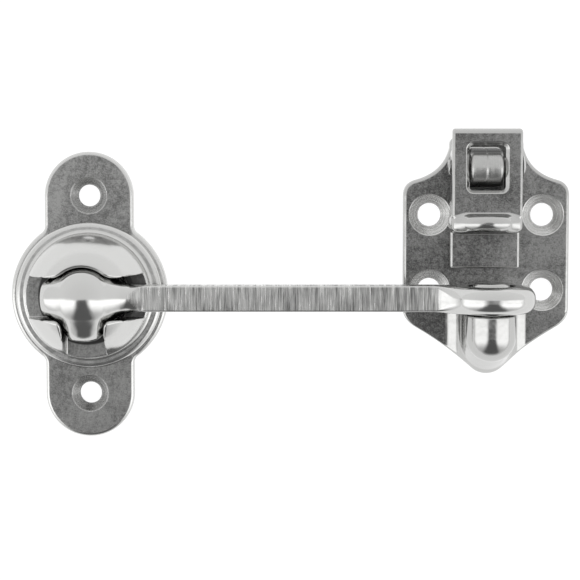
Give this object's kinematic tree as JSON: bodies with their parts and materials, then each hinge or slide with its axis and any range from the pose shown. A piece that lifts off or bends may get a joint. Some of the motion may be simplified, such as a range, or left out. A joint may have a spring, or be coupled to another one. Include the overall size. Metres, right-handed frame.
{
  "type": "door hook with ball swivel",
  "caption": "Door hook: a ball-ended bar turns in a slotted dome base, its eye drops over the peg of a horn keeper, and a hinged sprung lever stops it lifting off.",
  "frame": {"origin": "mounting face of the swivel base, under the centre of the ball", "axes": "+X along the hook from the swivel to the keeper, +Z out of the mounting face, +Y up on the door"},
  "size_m": [0.1406, 0.0776, 0.0254],
  "materials": {
    "satin_steel": "tumbled satin",
    "polished_steel": "mirror polished",
    "bar_steel": "cross-grained bar, polished ends",
    "spring_steel": "plain wire"
  },
  "bodies": {
    "keeper": {"keeper_plate": "satin_steel", "hinge_pin": "polished_steel", "lever_spring_left": "spring_steel", "lever_spring_right": "spring_steel"},
    "lever": {"safety_lever": "satin_steel"},
    "hook": {"hook": "bar_steel"},
    "seat": {"ball_seat": "satin_steel"},
    "housing": {"swivel_plate": "satin_steel", "dome_cap": "polished_steel", "wave_spring": "spring_steel", "cap_rivet_1": "satin_steel", "cap_rivet_2": "satin_steel", "cap_rivet_3": "satin_steel", "cap_rivet_4": "satin_steel"}
  },
  "joints": [
    {"name": "lever_flip", "type": "hinge", "parent": "keeper", "child": "lever", "pos_m": [0.1, 0.032, 0.008], "axis": [-1, 0, 0], "range_deg": [0, 50], "stiffness_Nm_per_rad": 0.02, "springref_deg": -28.65},
    {"name": "hook_lift", "type": "hinge", "parent": "keeper", "child": "hook", "pos_m": [0, 0, 0.0145], "axis": [0, 0, 1], "range_deg": [0, 5]},
    {"name": "hook_swing", "type": "hinge", "parent": "hook", "child": "seat", "pos_m": [0, 0, 0.0145], "axis": [0, 1, 0], "range_deg": [0, 180]},
    {"name": "seat_turn", "type": "hinge", "parent": "seat", "child": "housing", "pos_m": [0, 0, 0.0145], "axis": [0, 0, 1], "range_deg": [-5, 0]}
  ],
  "couplings": [
    {"joint": "hook_lift", "follows": "lever_flip", "ratio": 0.1},
    {"joint": "seat_turn", "follows": "lever_flip", "ratio": -0.1}
  ]
}
